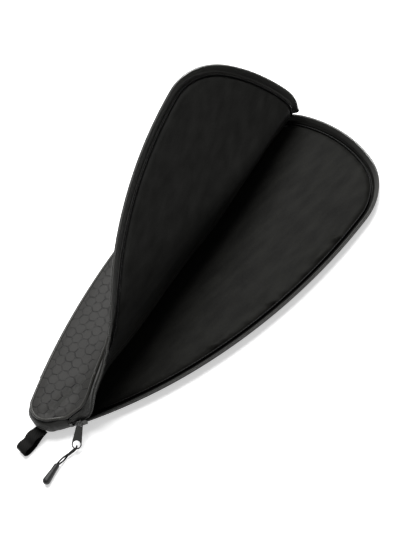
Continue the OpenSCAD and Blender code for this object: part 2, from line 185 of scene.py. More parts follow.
def makeEmbossedPolyester():
    look = honeycomb
    made, tree, shader = startMaterial("embossedPolyester", look)
    place = addNode(tree, "ShaderNodeAttribute", attribute_name="cut").outputs["Vector"]
    cell = look["cell"]
    period = (cell, cell * math.sqrt(3), 1000)
    half = tuple(v / 2 for v in period)
    start = (50 * period[0] + look["start"][0], 50 * period[1] + look["start"][1], 500)  # kept above nought
    shifted = addNode(tree, "ShaderNodeVectorMath", {0: place}, {1: start}, operation="ADD")
    cells = []
    for offset in ((0, 0, 0), half):
        spot = shifted.outputs[0]
        for way, value in (("ADD", offset), ("MODULO", period), ("SUBTRACT", half)):
            spot = addNode(tree, "ShaderNodeVectorMath", {0: spot}, {1: value}, operation=way).outputs[0]
        size = addNode(tree, "ShaderNodeVectorMath", {0: spot}, operation="ABSOLUTE").outputs[0]
        level, slope = (
            addNode(tree, "ShaderNodeVectorMath", {0: size}, {1: side}, operation="DOT_PRODUCT")
            for side in ((1, 0, 0), (0.5, math.sqrt(3) / 2, 0)))
        cells.append(addNode(tree, "ShaderNodeMath", {0: level.outputs["Value"], 1: slope.outputs["Value"]},
                             operation="MAXIMUM").outputs[0])
    nearest = addNode(tree, "ShaderNodeMath", {0: cells[0], 1: cells[1]}, operation="MINIMUM")
    edge = cell / 2
    groove = addNode(tree, "ShaderNodeMapRange", {"Value": nearest.outputs[0]},
                     {"From Min": edge - 2.6 * look["groove"], "From Max": edge - look["groove"] * 0.6,
                      "To Min": 1.0, "To Max": 0.0}, interpolation_type="SMOOTHSTEP")
    thread, cloud, patchy = (
        addNode(tree, "ShaderNodeTexNoise", {"Vector": place},
                {"Scale": 1 / look[size], "Detail": detail}).outputs["Fac"]
        for size, detail in (("thread", 2.0), ("wear", 3.0), ("fade", 2.0)))
    worn, speckle, faded = (
        addNode(tree, "ShaderNodeMapRange", {"Value": source},
                {"From Min": low, "From Max": high, "To Min": first, "To Max": last}).outputs[0]
        for source, low, high, first, last in (
            (cloud, 0.35, 0.65, 0.8, 1.0), (thread, 0.3, 0.7, 0.72, 1.0), (patchy, 0.38, 0.6, 0.75, 0.0)))
    line = addNode(tree, "ShaderNodeMath", {0: groove.outputs[0], 1: faded}, operation="MAXIMUM").outputs[0]
    shade = line
    for share in (worn, speckle):
        shade = addNode(tree, "ShaderNodeMath", {0: shade, 1: share}, operation="MULTIPLY").outputs[0]
    height = addNode(tree, "ShaderNodeMath", {0: thread, 2: line}, {1: 0.35}, operation="MULTIPLY_ADD")
    finishMaterial(tree, shader, look, shade, height.outputs[0])
    return made


# polyester tricot, warp knitted and brushed: nearly black, with a faint long nap and hardly a gleam
# the tray's copy is the same cloth painted a shade lighter, as painted light for the light on the tray;
# sizes in mm, the knit drawn coarse so that it shows
linings = {
    "knittedTricot": {"light": "#1a1a19", "dark": "#0f0f0e"},
    "brushedTricot": {"light": "#1f1f1d", "dark": "#121211"},
}
tricot = {
    "roughness": 0.52, "specular": 0.03, "depth": 0.16,
    "knit": 0.6, "nap": 9.0, "napStretch": (1.0, 0.35, 1.0),
}


def makeTricot(name, look):
    look = {**tricot, **look}
    made, tree, shader = startMaterial(name, look)
    place = addNode(tree, "ShaderNodeAttribute", attribute_name="cut").outputs["Vector"]
    knit = addNode(tree, "ShaderNodeTexNoise", {"Vector": place},
                   {"Scale": 1 / look["knit"], "Detail": 1.5, "Roughness": 0.7}).outputs["Fac"]
    long = addNode(tree, "ShaderNodeVectorMath", {0: place}, {1: look["napStretch"]}, operation="MULTIPLY")
    nap = addNode(tree, "ShaderNodeTexNoise", {"Vector": long.outputs[0]},
                  {"Scale": 1 / look["nap"], "Detail": 3.0}).outputs["Fac"]
    both = addNode(tree, "ShaderNodeMath", {0: knit, 1: nap}, operation="ADD").outputs[0]
    shade = addNode(tree, "ShaderNodeMapRange", {"Value": both}, {"From Min": 0.7, "From Max": 1.3})
    height = addNode(tree, "ShaderNodeMath", {0: nap, 2: knit}, {1: 2.0}, operation="MULTIPLY_ADD")
    finishMaterial(tree, shader, look, shade.outputs[0], height.outputs[0])
    return made


# woven goods, ribbed aslant; rib is how wide one rib is across the case in mm, as coarse as it needs to show
weaves = {
    # polyester of the walls, plain woven: dark grey painted lighter than the cloth is, as painted light for
    # the light that falls on the walls; a dry rib and a slight bloom at grazing light
    "plainPolyester": {"light": "#3a3a38", "dark": "#2a2a28", "rib": 0.9, "roughness": 0.5, "sheen": 0.08},
    # the same cloth at the closed tail, also painted lighter than it is as painted light, and a little
    # darker than the walls' copy
    "rubbedPolyester": {"light": "#383836", "dark": "#2a2a28", "rib": 0.9, "roughness": 0.5, "sheen": 0.08},
    # polyester sewing thread, spun: small dark ticks
    "spunThread": {"light": "#181817", "dark": "#121211", "rib": 0.6, "roughness": 0.5, "sheen": 0.0},
    # polyester twill, pressed smooth and wrapped over the piping: a soft light line along it, partly from
    # its gloss and partly a painted highlight, as its grey is painted lighter
    "pressedTwill": {"light": "#3c3b38", "dark": "#2b2b29", "rib": 1.1, "roughness": 0.34, "sheen": 0.08},
    # polyester zip tape, woven flat: an even matt grey
    "wovenTape": {"light": "#42423f", "dark": "#313130", "rib": 0.8, "roughness": 0.6, "sheen": 0.05},
    # polyester binding, napped, over the raw seam: black, it swallows the light
    "nappedBinding": {"light": "#0c0c0c", "dark": "#060606", "rib": 1.0, "roughness": 0.8, "sheen": 0.0,
                      "specular": 0.06},
    # polypropylene webbing, woven with a coarse rib: black and dull
    "ribbedWebbing": {"light": "#181817", "dark": "#0e0e0e", "rib": 1.4, "roughness": 0.8, "sheen": 0.02,
                      "specular": 0.1},
    # nylon cord, braided: dark strands with a slight gloss
    "braidedNylon": {"light": "#1d1d1d", "dark": "#101010", "rib": 0.8, "roughness": 0.6, "sheen": 0.05},
}
# what they share; bandWidth is how wide a diagonal band of the wave texture is at scale 1, measured along x
weaving = {"specular": 0.25, "bandWidth": 0.314, "fuzz": 0.625, "depth": 0.12}


def makeWeave(name, look):
    look = {**weaving, **look}
    made, tree, shader = startMaterial(name, look)
    place = addNode(tree, "ShaderNodeAttribute", attribute_name="cut").outputs["Vector"]
    warp = addNode(tree, "ShaderNodeTexWave", {"Vector": place},
                   {"Scale": look["bandWidth"] / look["rib"], "Distortion": 0.6, "Detail": 1.0},
                   bands_direction="DIAGONAL")
    fuzz = addNode(tree, "ShaderNodeTexNoise", {"Vector": place}, {"Scale": 1 / look["fuzz"], "Detail": 2.0})
    height = addNode(tree, "ShaderNodeMath", {0: warp.outputs["Fac"], 2: fuzz.outputs["Fac"]}, {1: 0.5},
                     operation="MULTIPLY_ADD").outputs[0]
    shade = addNode(tree, "ShaderNodeMapRange", {"Value": height}, {"From Min": 0.35, "From Max": 1.05})
    finishMaterial(tree, shader, look, shade.outputs[0], height)
    return made


# moulded, cast and cut parts; grain and depth in mm
solids = {
    # nylon monofilament, extruded and wound: smooth, a small highlight on every turn from its gloss, and its
    # grey painted lighter as painted light for the light the coil catches
    "extrudedNylon": {
        "light": "#50504e", "dark": "#434341", "roughness": 0.35, "specular": 0.5,
        "grain": 2.0, "depth": 0.01,
    },
    # die-cast zinc under grey enamel: even, rather glossy
    "enamelledZinc": {
        "light": "#3d3d3c", "dark": "#333332", "roughness": 0.3, "specular": 0.5,
        "grain": 1.0, "depth": 0.02,
    },
    # moulded rubber: dark, with a soft wide highlight
    "mouldedRubber": {
        "light": "#262626", "dark": "#1e1e1e", "roughness": 0.5, "specular": 0.4,
        "grain": 0.5, "depth": 0.03,
    },
    # open-cell foam, cut: dull and pitted
    "cutFoam": {
        "light": "#3a3a38", "dark": "#2b2b2a", "roughness": 0.95, "specular": 0.2,
        "grain": 0.8, "depth": 0.2,
    },
}


def makeSolid(name, look):
    made, tree, shader = startMaterial(name, look)
    place = addNode(tree, "ShaderNodeTexCoord")
    speck = addNode(tree, "ShaderNodeTexNoise", {"Vector": place.outputs["Object"]},
                    {"Scale": 1 / (look["grain"] * mm), "Detail": 2.0}).outputs["Fac"]
    finishMaterial(tree, shader, look, speck, speck)
    return made


materials = {"embossedPolyester": makeEmbossedPolyester()}
for looks, make in ((linings, makeTricot), (weaves, makeWeave), (solids, makeSolid)):
    for key, look in looks.items():
        materials[key] = make(key, look)
print(len(materials), "materials made")

# the cut of the case, in mm: the zip line is four tangent arcs on each side, swayed a little at the tail
cut = {
    "length": 440, "shoulderWidth": 192, "tailRadius": 26, "flankRadius": 555,
    "shoulderRadius": 70, "headRadius": 152, "thickness": 25,
    "tailSway": 4, "swayFrom": -60,
}


def bearing(way):
    return math.degrees(math.atan2(way[1], way[0]))


def outlineArcs():
    tail, head = cut["tailRadius"], cut["headRadius"]
    flank, shoulder = cut["flankRadius"], cut["shoulderRadius"]
    tailCentre = np.array((0, tail - cut["length"] / 2))
    headCentre = np.array((0, cut["length"] / 2 - head))
    side = cut["shoulderWidth"] / 2 - shoulder
    shoulderCentre = np.array((side, headCentre[1] + math.sqrt((head - shoulder) ** 2 - side ** 2)))
    span = np.linalg.norm(shoulderCentre - tailCentre)
    along = ((flank - tail) ** 2 - (flank - shoulder) ** 2 + span ** 2) / (2 * span)
    across = math.sqrt((flank - tail) ** 2 - along ** 2)
    toward = (shoulderCentre - tailCentre) / span
    flankCentre = tailCentre + along * toward + across * np.array((-toward[1], toward[0]))
    atTail = bearing(tailCentre - flankCentre)
    atShoulder = bearing(shoulderCentre - flankCentre)
    atHead = bearing(shoulderCentre - headCentre)
    right = [
        (tailCentre, tail, -90, atTail), (flankCentre, flank, atTail, atShoulder),
        (shoulderCentre, shoulder, atShoulder, atHead), (headCentre, head, atHead, 90),
    ]
    left = [(np.array((-c[0], c[1])), r, 180 - b, 180 - a) for c, r, a, b in reversed(right)]
    return right + left


arcs = outlineArcs()
arcCentres, arcRadii, arcStarts, arcEnds = (np.array(column) for column in zip(*arcs))


def sway(y):
    reach = cut["swayFrom"] + cut["length"] / 2
    return cut["tailSway"] * np.clip((cut["swayFrom"] - y) / reach, 0, None) ** 2


def edgePoints(places, inset):
    # points at an inset from the zip line, and the way out; a place counts arcs up the right from the tail
    places = np.asarray(places, float) % len(arcs)
    which = np.floor(places).astype(int)
    angle = np.radians(arcStarts[which] + (places - which) * (arcEnds[which] - arcStarts[which]))
    outward = np.stack((np.cos(angle), np.sin(angle)), 1)
    x, y = (arcCentres[which] + (arcRadii[which] - inset)[:, None] * outward).T
    return np.stack((x - sway(y), y), 1), outward


# the run is the distance along the zip line from the tail, counted the same way
finePlaces = np.linspace(0, len(arcs), 4001)
fineEdge = edgePoints(finePlaces, 0)[0]
fineRun = np.concatenate(([0], np.cumsum(np.linalg.norm(np.diff(fineEdge, axis=0), axis=1))))
wholeRun = fineRun[-1]


def placeAt(run):
    return np.interp(run, fineRun, finePlaces)


def runAt(place):
    return np.interp(place, finePlaces, fineRun)


def nearestEdge(points):
    # inset and run of flat points, in batches to spare memory
    batch = 2000
    inset = np.empty(len(points))
    run = np.empty(len(points))
    for start in range(0, len(points), batch):
        some = points[start:start + batch, :2]
        far = np.linalg.norm(some[:, None, :] - fineEdge[None, :, :], axis=2)
        nearest = far.argmin(1)
        inset[start:start + batch] = far[np.arange(len(some)), nearest]
        run[start:start + batch] = fineRun[nearest]
    return inset, run


def beyondLine(line, points):
    # how far points lie to the right of a line
    start, end = (np.array(place, float) for place in line)
    way = (end - start) / np.linalg.norm(end - start)
    return (points[..., 0] - start[0]) * way[1] - (points[..., 1] - start[1]) * way[0]


def smooth(t):
    t = np.clip(t, 0, 1)
    return t * t * (3 - 2 * t)


def ramp(value, start, span):
    # from 0 at the start to 1 a span further on, and downwards with a span below nought
    return smooth((value - start) / span)


# the two lines where the front folds over, tail end first, and the seam between them; angle in degrees
# each reach says how far the bend goes to either side of its line; the slider's line runs along the zip
# edgeDepth is how far below the panel the upright edge begins to follow it
folds = {
    "angle": 72,
    "first": ((21.6, -184), (-47, 205)), "firstReach": (-16, 4.4),
    "second": ((48, -60), (-38, 200)), "secondReach": (-4.4, 14),
    "seam": ((23.9, -60), (-42.5, 202.5)), "seamWithin": {"low": (0.6, 2), "high": (3.9, 5.2)},
    "slider": ((31.5, -182.5), (44, -156)), "rounds": 14, "edgeDepth": 6,
}


def seamRun(end, inset):
    # the run at which the outline crosses the seam, found by halving
    low, high = (runAt(place) for place in folds["seamWithin"][end])
    for _ in range(40):
        middle = (low + high) / 2
        sides = beyondLine(folds["seam"], edgePoints(placeAt(np.array([low, middle])), inset)[0])
        low, high = (low, middle) if sides[0] * sides[1] <= 0 else (middle, high)
    return (low + high) / 2


def turned(points, origin, axis, angles):
    # points turned about a line, each by its own angle
    axis = axis / np.linalg.norm(axis)
    arm = points - origin
    along = axis * (arm @ axis)[:, None]
    cosine, sine = np.cos(angles)[:, None], np.sin(angles)[:, None]
    return origin + arm * cosine + np.cross(axis, arm) * sine + along * (1 - cosine)


def foldAxis(line):
    start, end = (np.array(place + (cut["thickness"],), float) for place in line)
    return start, (end - start) / np.linalg.norm(end - start)


foldAngle = math.radians(folds["angle"])
firstOrigin, firstAxis = foldAxis(folds["first"])
secondOrigin, secondAxis = foldAxis(folds["second"])  # with the front still flat


def bendSlab(origin, axis, reach):
    # the two points between which a bend starts and ends
    level = np.cross(axis, (0, 0, 1.0))
    level /= np.linalg.norm(level)
    way = turned(level[None], np.zeros(3), axis, np.array([-foldAngle / 2]))[0]
    ease = math.cos(foldAngle / 2)
    return origin + way * reach[0] * ease, origin + way * reach[1] * ease


firstSlab = bendSlab(firstOrigin, firstAxis, folds["firstReach"])
flatSecondSlab = bendSlab(secondOrigin, secondAxis, folds["secondReach"])
secondSlab = tuple(turned(np.array(flatSecondSlab), firstOrigin, firstAxis, np.full(2, -foldAngle)))
sliderSlab = tuple(np.array(place + (cut["thickness"],), float) for place in folds["slider"])

# the bodies that share each bending part, and the slab over which it passes from one to the other
bends = {
    "spine": ("case_back", "front_fold", firstSlab),
    "start": ("case_back", "front_fold", sliderSlab),
    "flap": ("front_fold", "front_flap", secondSlab),
}


def slabWeight(points, slab):
    through = slab[1] - slab[0]
    return smooth((points - slab[0]) @ through / (through @ through))


def bendWeight(points, origin, axis, slab):
    # how far round each point goes; the upright edge follows the panel that it hangs from
    level = points.copy()
    level[:, 2] = np.clip(level[:, 2], cut["thickness"] - folds["edgeDepth"], None)
    weight = slabWeight(level, slab)
    for _ in range(folds["rounds"]):
        bent = turned(level, origin, axis, -weight * foldAngle)
        weight = 0.5 * weight + 0.5 * slabWeight(bent, slab)
    return weight


def bentFirst(points, slab):
    weight = bendWeight(points, firstOrigin, firstAxis, slab)
    return turned(points, firstOrigin, firstAxis, -weight * foldAngle)


def bentSecond(points):
    weight = bendWeight(points, secondOrigin, secondAxis, flatSecondSlab)
    bent = turned(points, secondOrigin, secondAxis, -weight * foldAngle)
    return turned(bent, firstOrigin, firstAxis, np.full(len(points), -foldAngle))


def folded(points):
    onFlap = beyondLine(folds["seam"], points) > 0
    bent = np.empty_like(points)
    if onFlap.any():
        bent[onFlap] = bentSecond(points[onFlap])
    if not onFlap.all():
        bent[~onFlap] = bentFirst(points[~onFlap], firstSlab)
    return bent


# how the soft front settles, in mm: each Span says where along the case a thing begins and over what length
# it comes in, counted towards the tail when that length is below nought
settle = {
    # the roll is eased out this far each way, more at the tail, and not at all beside the slider
    "atTail": 17, "atHead": 4, "tailSpan": (120, -200), "easeSpan": (-185, 60),
    # sags of the folded front: the middle, the size and the shift of each; they begin beside the first fold
    "sags": (((-38, 206), 60, (-3, -4, 1)), ((15, -90), 45, (4, 0, -2.5)), ((28, -172), 20, (6.5, 4, 0))),
    "sagBeside": (-4, 12),
    # towards the head the foot of the roll tucks in under the flap
    "tuck": (-8, -3, 0), "tuckReach": 13, "tuckSpan": (30, 120),
    # at the head the zip edge is pinched flat where it turns over the roll
    "pinch": 0.55, "pinchReach": 13, "pinchSpan": (165, 30),
    # beside the slider the cloth lets go of the zip inwards from its edge and towards the head
    "freeInset": (1, 5.8), "freeSpan": (-186, 34),
}


def settled(points):
    y = points[:, 1]
    fromSeam = beyondLine(folds["seam"], points)
    fromFirst = beyondLine(folds["first"], points)
    pinch = settle["pinch"] * ramp(y, *settle["pinchSpan"])
    pinch = pinch * np.exp(-(fromSeam / settle["pinchReach"]) ** 2)
    edgeTop = cut["thickness"] - folds["edgeDepth"]
    points = points.copy()
    points[:, 2] += np.clip(edgeTop - points[:, 2], 0, None) * pinch
    wide = ramp(y, *settle["tailSpan"])
    reach = settle["atHead"] + (settle["atTail"] - settle["atHead"]) * wide
    reach = reach * ramp(y, *settle["easeSpan"])
    across = np.array((secondAxis[1], -secondAxis[0], 0))
    rest = np.zeros_like(points)
    ways = np.linspace(-2, 2, 9)
    shares = np.exp(-ways ** 2 / 2)
    for way, share in zip(ways, shares / shares.sum()):
        rest += share * folded(points + (way * reach)[:, None] * across)
    moving = ramp(fromFirst, *settle["sagBeside"])
    for centre, size, shift in settle["sags"]:
        far = ((points[:, :2] - centre) ** 2).sum(1)
        rest += (np.exp(-far / (2 * size ** 2)) * moving)[:, None] * shift
    near = np.exp(-(fromFirst / settle["tuckReach"]) ** 2)
    rest += (near * ramp(y, *settle["tuckSpan"]))[:, None] * settle["tuck"]
    return rest


def besideSlider(points):
    # the zip stays down while the seam above it follows the panel
    inset = nearestEdge(points)[0]
    held = (1 - ramp(inset, *settle["freeInset"])) * (1 - ramp(points[:, 1], *settle["freeSpan"]))
    free = 1 - held
    return bentFirst(points, sliderSlab) * (1 - free[:, None]) + settled(points) * free[:, None]


def shaped(points, part):
    if part in ("spine", "flap"):
        return settled(points)
    if part == "start":
        return besideSlider(points)
    return points


def addPiece(name, points, faces, part, material, replaces=(), smoothShade=True):
    # a mesh from points of the closed case in mm, folded as its part is
    points = np.asarray(points, float)
    mesh = bpy.data.meshes.new(name)
    mesh.from_pydata((shaped(points, part) * mm).tolist(), [], faces)
    mesh.validate()
    flat = mesh.attributes.new("cut", "FLOAT_VECTOR", "POINT")
    flat.data.foreach_set("vector", points.astype(np.float32).ravel())
    mesh.materials.append(materials[material])
    if smoothShade:
        mesh.shade_smooth()
    piece = addToScene(name, mesh)
    if part in bends:
        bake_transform(piece)
    else:
        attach(piece, "case_back" if part == "back" else part)
    if replaces:
        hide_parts(*replaces)
    return piece


def partBoundary(part, inset, step=3.0):
    # closed flat outline of the back, or of the front on one side of the seam
    if part == "back":
        runs = np.linspace(0, wholeRun, int(wholeRun / step), endpoint=False)
        return edgePoints(placeAt(runs), inset)[0]
    low, high = seamRun("low", inset), seamRun("high", inset)
    if part == "flap":
        runs = np.linspace(low, high, int((high - low) / step))
    else:
        runs = np.linspace(high, wholeRun + low, int((wholeRun + low - high) / step)) % wholeRun
    edge = edgePoints(placeAt(runs), inset)[0]
    count = int(np.linalg.norm(edge[-1] - edge[0]) / step)
    share = np.linspace(0, 1, count + 1)[1:-1, None]
    return np.vstack((edge, edge[-1] + share * (edge[0] - edge[-1])))


def insidePolygon(points, polygon):
    x, y = points[:, 0], points[:, 1]
    inside = np.zeros(len(points), bool)
    previous = np.roll(polygon, 1, axis=0)
    for (ax, ay), (bx, by) in zip(previous, polygon):
        crosses = (ay > y) != (by > y)
        if ay != by:
            inside ^= crosses & (x < (bx - ax) * (y - ay) / (by - ay) + ax)
    return inside


def flatMesh(part, inset, step=4.0, rings=(0.5, 1.4, 2.8, 4.8, 7.5)):
    # triangles over a part: rings that follow its edge, and an even grid within them
    fine = min(step, 3.0)
    border = partBoundary(part, inset, fine)
    ringRuns = np.linspace(0, wholeRun, int(wholeRun / fine), endpoint=False)
    inner = [edgePoints(placeAt(ringRuns), inset + ring)[0] for ring in rings]
    halfWide, halfLong = 110, 224  # a little more than the case's
    xs = np.arange(-halfWide, halfWide, step)
    ys = np.arange(-halfLong, halfLong, step * 0.866)
    grid = np.array([(x + (k % 2) * step / 2, y) for k, y in enumerate(ys) for x in xs])
    inner.append(grid[nearestEdge(grid)[0] > inset + rings[-1] + step * 0.6])
    inner = np.vstack(inner)
    inner = inner[insidePolygon(inner, border)]
    gap = np.linalg.norm(inner[:, None, :] - border[None, :, :], axis=2).min(1)
    inner = inner[gap > min(0.42, step * 0.4)]
    if part != "back":
        inner = inner[np.abs(beyondLine(folds["seam"], inner)) > step * 0.35]
    everything = [Vector(p) for p in np.vstack((border, inner))]
    loop = list(range(len(border)))
    verts, _, faces, _, _, _ = delaunay_2d_cdt(everything, [], [loop], 1, 1e-4)
    return np.array([tuple(v) for v in verts]), [tuple(f) for f in faces]


def boundaryEdges(faces):
    seen = {}
    for face in faces:
        for a, b in zip(face, face[1:] + face[:1]):
            key = (min(a, b), max(a, b))
            seen[key] = None if key in seen else (a, b)
    return [pair for pair in seen.values() if pair]


def layerSolid(flat, faces, low, high):
    # closed layer between two heights
    count = len(flat)
    points = np.vstack((np.column_stack((flat, low)), np.column_stack((flat, high))))
    solid = [tuple(reversed(face)) for face in faces] + [tuple(i + count for i in face) for face in faces]
    solid += [(a, b, b + count, a + count) for a, b in boundaryEdges(faces)]
    return points, solid


# thicknesses and insets of the sewn layers, in mm
layers = {
    "cloth": 1.2, "foam": 3.2, "lining": 0.8, "panelInset": 8.8, "padInset": 9.4,
    "underPiping": 0.8, "seamDrop": 0.9, "puffOver": 7,  # the outer cloth tucks under the piping
    "padIn": 0.6, "padUp": 1.1, "padDown": 0.15,  # the pad is a little smaller than its pocket
    "edgeDrop": 1.6, "crown": 0.5, "trayCrown": 0.7, "crownOver": 5,  # the lining is drawn down at its edge
    "fill": 0.5,
}

# small moves of the cloth, in mm
drape = {
    "valley": 2.6, "valleyAt": 4.5, "valleyWide": 4.5, "valleySpan": (-100, -40),
    "waves": 0.5, "waveSize": (16, 34),
    "pucker": 0.9, "puckerLong": 5.5, "puckerFade": 6,
    "gather": 4.6, "gatherAt": 13.5, "gatherWide": 6, "gatherSpans": ((-90, 50), (150, -40)),
}


def ripple(places):
    return np.array([noise.noise(Vector(place)) for place in places])


def valley(flat):
    # a soft hollow down the spine towards the tail, and slow waves in the cloth
    hollow = np.exp(-((flat[:, 0] - drape["valleyAt"]) / drape["valleyWide"]) ** 2)
    hollow = hollow * ramp(flat[:, 1], *drape["valleySpan"])
    wide, long = drape["waveSize"]
    return drape["valley"] * hollow + drape["waves"] * ripple((x / wide, y / long, 3.3) for x, y in flat)


def puckers(inset, run):
    # small gathers all along the lining's seam
    fade = drape["puckerFade"]
    wave = ripple((r / drape["puckerLong"], 0.3 * i / fade, 7.1) for r, i in zip(run, inset))
    return drape["pucker"] * wave * np.exp(-np.clip(inset - layers["padInset"], 0, None) / fade)


def gathers(flat, inset, run):
    # the tray's lining stands in soft folds along its right edge, where the seam pulls it in
    pull = (flat[:, 0] > 0) * np.prod([ramp(flat[:, 1], *span) for span in drape["gatherSpans"]], axis=0)
    wave = np.clip(ripple((r / 9 + i / 7, i / 16, 2.3) for r, i in zip(run, inset)), -0.03, None)
    return drape["gather"] * wave * pull * np.exp(-((inset - drape["gatherAt"]) / drape["gatherWide"]) ** 2)


def addLayer(part, name, flat, faces, low, high, material, nodes):
    # heights are from the outside in, so the front's count down from the top
    if part != "back":
        low, high = cut["thickness"] - high, cut["thickness"] - low
    points, solid = layerSolid(flat, faces, low, high)
    return addPiece(part + name, points, solid, part, material, nodes)


def makeOuterCloth(part, nodes):
    flat, faces = flatMesh(part, layers["panelInset"] - layers["underPiping"])
    puff = ramp(nearestEdge(flat)[0], layers["panelInset"], layers["puffOver"])
    low = layers["seamDrop"] * (1 - puff)
    if part == "spine":
        low = low + valley(flat) * puff
    high = low + layers["cloth"]
    return addLayer(part, "OuterCloth", flat, faces, low, high, "embossedPolyester",
                    [node + "_panel" for node in nodes])


def makePad(part, nodes):
    flat, faces = flatMesh(part, layers["padInset"] + layers["padIn"], 6.0, (2.5,))
    low = np.full(len(flat), layers["cloth"] + layers["padUp"])
    high = np.full(len(flat), layers["cloth"] + layers["foam"] - layers["padDown"])
    pad = addLayer(part, "Foam", flat, faces, low, high, "cutFoam",
                   [node + "_foam" for node in nodes])
    return pad


def makeLining(part, nodes):
    flat, faces = flatMesh(part, layers["padInset"], 2.6)
    inset, run = nearestEdge(flat)
    rise = ramp(inset, layers["padInset"], layers["crownOver"])
    top = layers["cloth"] + layers["foam"] + layers["lining"]
    top = top + layers["crown"] * rise - layers["edgeDrop"] * (1 - rise) + puckers(inset, run)
    if part == "back":
        top = top + gathers(flat, inset, run) + layers["trayCrown"] * rise
    # the tray's lining takes the copy painted lighter, as painted light
    material = "brushedTricot" if part == "back" else "knittedTricot"
    return addLayer(part, "Lining", flat, faces, top - layers["lining"], top, material,
                    [node + "_lining" for node in nodes])


def makeLayers(part, nodes):
    outerCloth = makeOuterCloth(part, nodes)
    pad = makePad(part, nodes)
    cover = makeLining(part, nodes)


for part, nodes in (("back", ["back"]), ("spine", ["spine"]), ("flap", ["fold", "flap"])):
    makeLayers(part, nodes)
print("outer cloths, pads and linings made")


def tubeFaces(count, sides, flipped):
    # quads between rings of points, with both ends closed
    faces = []
    for k in range(count - 1):
        for j in range(sides):
            i = (j + 1) % sides
            faces.append((k * sides + j, k * sides + i, (k + 1) * sides + i, (k + 1) * sides + j))
    faces.append(tuple(range(sides - 1, -1, -1)))
    faces.append(tuple((count - 1) * sides + j for j in range(sides)))
    return [tuple(reversed(face)) for face in faces] if flipped else faces


def addSwept(name, section, stretches, front, material, replaces, step=3.0, wobble=None):
    # a section of (inset, height) carried along each stretch of the outline
    for index, (part, low, high) in enumerate(stretches):
        runs = np.linspace(low, high, max(3, int((high - low) / step)))
        rows = []
        for corner, (inset, height) in enumerate(section):
            flat, outward = edgePoints(placeAt(runs % wholeRun), inset)
            if wobble:
                flat = flat + outward * wobble(corner, runs)[:, None]
            heights = np.full(len(runs), cut["thickness"] - height if front else height)
            rows.append(np.column_stack((flat, heights)))
        points = np.stack(rows, 1).reshape(-1, 3)
        faces = tubeFaces(len(runs), len(section), front)
        given = replaces if index == 0 else ()
        addPiece(name + part.capitalize(), points, faces, part, material, given)


# what is sewn round the edge, by (inset, height) in mm; the zip starts and ends so far up from the tail
edges = {
    "pipingAt": (7.0, 1.65), "pipingRadius": 1.6, "pipingSides": 12,
    "wallFoot": (6.8, 3.5), "wallTop": (0.9, 7.8), "wall": 1.0,
    "sideLining": (1.15, 1.6), "sideLiningTop": 0.64,
    "binding": [(9.0, 5.2), (11.0, 5.2), (10.7, 6.3), (9.4, 6.3)],
    "tape": 0.5, "tapeFoot": (5.3, 6.0), "tapeFold": (0.3, 0.4), "tapeBend": 8.7, "tapeGap": 1,
    "zipStart": 24, "zipEnd": 37,
}

# wound coil, in mm: half its gap lies on either side of the parting line
coil = {
    "depth": 1.6, "height": 1.8, "gap": 2.0, "pitch": 1.5, "wire": 0.42,
    "turnSteps": 8, "sides": 4, "endGap": 2.4,
}


def flankRun(fromTail):
    # the run up the right flank to a distance from the tail
    spots = np.linspace(0.2, 2, 2000)
    y = edgePoints(spots, 0)[0][:, 1]
    return float(runAt(np.interp(fromTail - cut["length"] / 2, y, spots)))


startRun = flankRun(edges["zipStart"])
endRun = wholeRun - flankRun(edges["zipEnd"])
seamLow = seamRun("low", 0)
seamHigh = seamRun("high", 0)
panelLow = seamRun("low", layers["panelInset"])


def frontStretches(low, high):
    # beside the slider, over the flap, down the spine
    return [("start", low, seamLow), ("flap", seamLow, seamHigh), ("spine", seamHigh, high)]


def pipingSection():
    (inset, height), radius, sides = edges["pipingAt"], edges["pipingRadius"], edges["pipingSides"]
    angles = [2 * math.pi * k / sides for k in range(sides)]
    return [(inset + radius * math.cos(a), height - radius * math.sin(a)) for a in angles]


def wallStrip(low, high, count, near, far):
    # a strip that follows the leaning wall between two shares of its height
    foot, top = np.array(edges["wallFoot"]), np.array(edges["wallTop"])
    run = (foot - top) / np.linalg.norm(foot - top)
    inward = np.array((-run[1], run[0]))
    line = [foot + (top - foot) * t for t in np.linspace(low, high, count)]
    return [tuple(p + inward * near) for p in line] + [tuple(p + inward * far) for p in reversed(line)]


def tapeSection():
    top = cut["thickness"] / 2 - edges["tapeGap"]
    inner = coil["depth"]
    outer = inner + edges["tape"]
    foot, fold, bend = edges["tapeFoot"], edges["tapeFold"], edges["tapeBend"]
    return [(inner, top), (inner, bend), foot, (foot[0] + fold[0], foot[1] + fold[1]),
            (outer, bend + fold[1]), (outer, top)]


# the closed tail: its section, outside first, and the soft folds where it buckles, from piping to piping
# each fold has its distance from the middle, slant, width and depth
gusset = {
    "section": [(6.8, 3.5), (3.2, 5.4), (0.9, 8.6), (0.5, 12.5), (0.9, 16.4), (3.2, 19.6), (6.8, 21.5),
                (7.5, 20.7), (4.2, 19.0), (1.9, 16.0), (1.5, 12.5), (1.9, 9.0), (4.2, 6.0), (7.5, 4.3)],
    "creases": ((14, 9, 2.6, 0.9), (25, -6, 2.2, 0.7), (-22, 8, 3.0, 0.8), (-3, 3, 4.0, 0.5)),
    "step": 1.2,
}


def gussetCrease(corner, runs):
    half = len(gusset["section"]) // 2
    level = (corner if corner < half else 2 * half - 1 - corner) / (half - 1) - 0.5
    dent = np.zeros(len(runs))
    for centre, slant, width, depth in gusset["creases"]:
        dent += depth * np.exp(-((runs - wholeRun - centre - slant * level) / width) ** 2)
    return -dent * (1 - (2 * level) ** 2)


# the seam that holds the binding, one small block for each stitch, in mm
stitch = {
    "length": 1.9, "width": 0.42, "height": 0.32, "inset": 9.9, "onto": 6.25,
    "spacing": 3.1, "endGap": 4,
}


